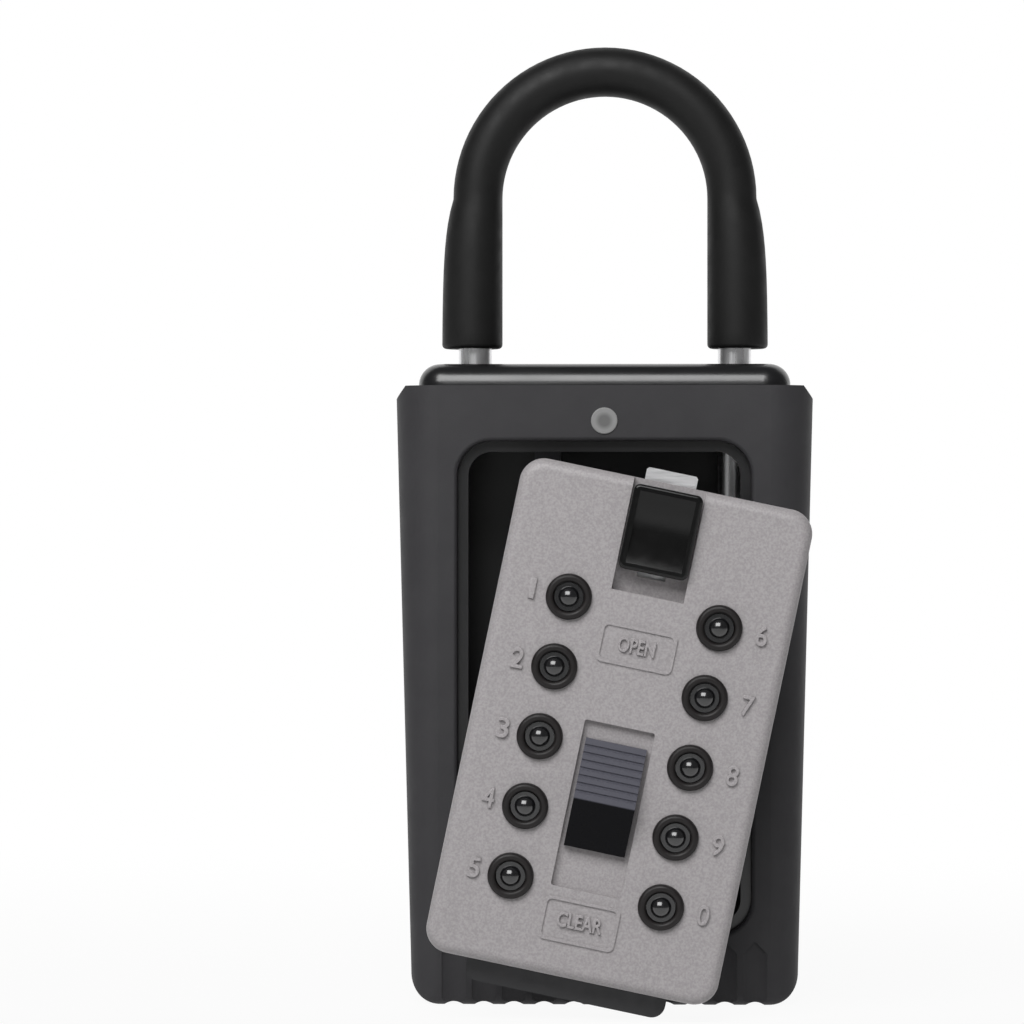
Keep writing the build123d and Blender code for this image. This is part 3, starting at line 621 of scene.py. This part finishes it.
def share_along_y(material, shares):
    """A share that runs through the given values at the given places along Y."""
    tree = material.node_tree
    apart = tree.nodes.new("ShaderNodeSeparateXYZ")
    ramp = tree.nodes.new("ShaderNodeValToRGB")
    ramp.color_ramp.interpolation = "EASE"
    stops = ramp.color_ramp.elements
    for i, (at, share) in enumerate(shares):
        position = (at + ramp_reach) / (2 * ramp_reach)
        stop = stops[i] if i < len(stops) else stops.new(position)
        stop.position = position
        stop.color = (share, share, share, 1)
    tree.links.new(object_place(material), apart.inputs[0])
    along = stretched(material, apart.outputs["Y"], -ramp_reach, ramp_reach)
    tree.links.new(along, ramp.inputs["Fac"])
    return ramp.outputs["Color"]


# %% [markdown]
# A pale sheet is a dull pale finish mixed with its own light by that share. Two large planes are
# enough, one flat and one upright a good way behind. A curved sweep would hide the line where they
# meet, but the camera sees no line between two whites.

# %% Floor and backdrop
pale_colour = (0.7, 0.7, 0.7)
sheet_size = 8
backdrop_distance = 2.2


def pale(name, shares):
    """A pale finish that is white by its own light where a camera or a reflection sees it."""
    material = finish(name, pale_colour, 0.9, Specular_IOR_Level=0.1)
    tree = material.node_tree
    own_light = joined(tree, "MULTIPLY", looking_ray(tree), share_along_y(material, shares))
    glow = tree.nodes.new("ShaderNodeEmission")
    mix = tree.nodes.new("ShaderNodeMixShader")
    tree.links.new(own_light, mix.inputs["Fac"])
    tree.links.new(tree.nodes["Principled BSDF"].outputs[0], mix.inputs[1])
    tree.links.new(glow.outputs[0], mix.inputs[2])
    tree.links.new(mix.outputs[0], tree.nodes["Material Output"].inputs["Surface"])
    return material


def pale_sheet(name, place, turn, shares):
    """A large pale plane that isn't part of the object."""
    bpy.ops.object.select_all(action="DESELECT")
    bpy.ops.mesh.primitive_plane_add(size=sheet_size, location=place, rotation=turn)
    sheet = bpy.context.object
    sheet.name = name
    sheet.data.materials.append(pale("pale_" + name, shares))
    print(name, sheet_size, "m wide")


pale_sheet("floor", (0, 0, 0), (0, 0, 0), floor_shares)
pale_sheet("backdrop", (0, backdrop_distance, 0), (math.pi / 2, 0, 0), backdrop_shares)

# %% [markdown]
# ## Lamp and world
# One large soft lamp hangs in front of the safe, above it and a little to the left, as the band
# of light on the case's top edge and the one highlight on each button show. A second lamp would
# put a second highlight there. The world adds a low, even rest instead, so that a colour comes out
# about as it is written.

# %% Lamp and world
lamp_place = Vector((-0.28, -0.98, 0.9))
lamp_aim = Vector((0, 0, 0.09))
lamp_power = 16.5
world_strength = 0.12
bpy.ops.object.light_add(type="AREA", location=lamp_place)
key_lamp = bpy.context.object
key_lamp.name = "key_lamp"
key_lamp.data.shape = "RECTANGLE"
key_lamp.data.size = 1.0
key_lamp.data.size_y = 0.8
key_lamp.data.energy = lamp_power
key_lamp.rotation_euler = (lamp_aim - lamp_place).to_track_quat("-Z", "Y").to_euler()

world = bpy.data.worlds.new("studio")
bpy.context.scene.world = world
world.use_nodes = True
world.node_tree.nodes["Background"].inputs["Color"].default_value = (1, 1, 1, 1)
world.node_tree.nodes["Background"].inputs["Strength"].default_value = world_strength
bpy.context.scene.view_settings.view_transform = "Standard"
print("lamp of", lamp_power, "W", round((lamp_aim - lamp_place).length, 2), "m away")

# %% [markdown]
# ## Camera
# The photograph was taken from the safe's own height and nearly square on. The lid, 30 mm nearer
# than the boot, looks 4 % larger, which puts the camera about 0.8 m away. A lens shift could
# set the safe to the right of the middle, but the camera simply aims to its left. The lens then
# follows from the distance and from the width that the frame has there.

# %% Camera
frame_width = 0.192
distance = 0.8
sensor_width = 36
aim = Vector((-0.0173, -0.024, 0.0925))
azimuth = math.radians(1.5)
back = Vector((math.sin(azimuth), -math.cos(azimuth), 0))
bpy.ops.object.camera_add(location=aim + back * distance)
camera = bpy.context.object
camera.rotation_euler = (-back).to_track_quat("-Z", "Y").to_euler()
camera.data.sensor_width = sensor_width
camera.data.lens = sensor_width * distance / frame_width
camera.data.clip_start = 0.01
camera.data.clip_end = 30
bpy.context.scene.camera = camera
print("lens", round(camera.data.lens), "mm at", distance, "m")
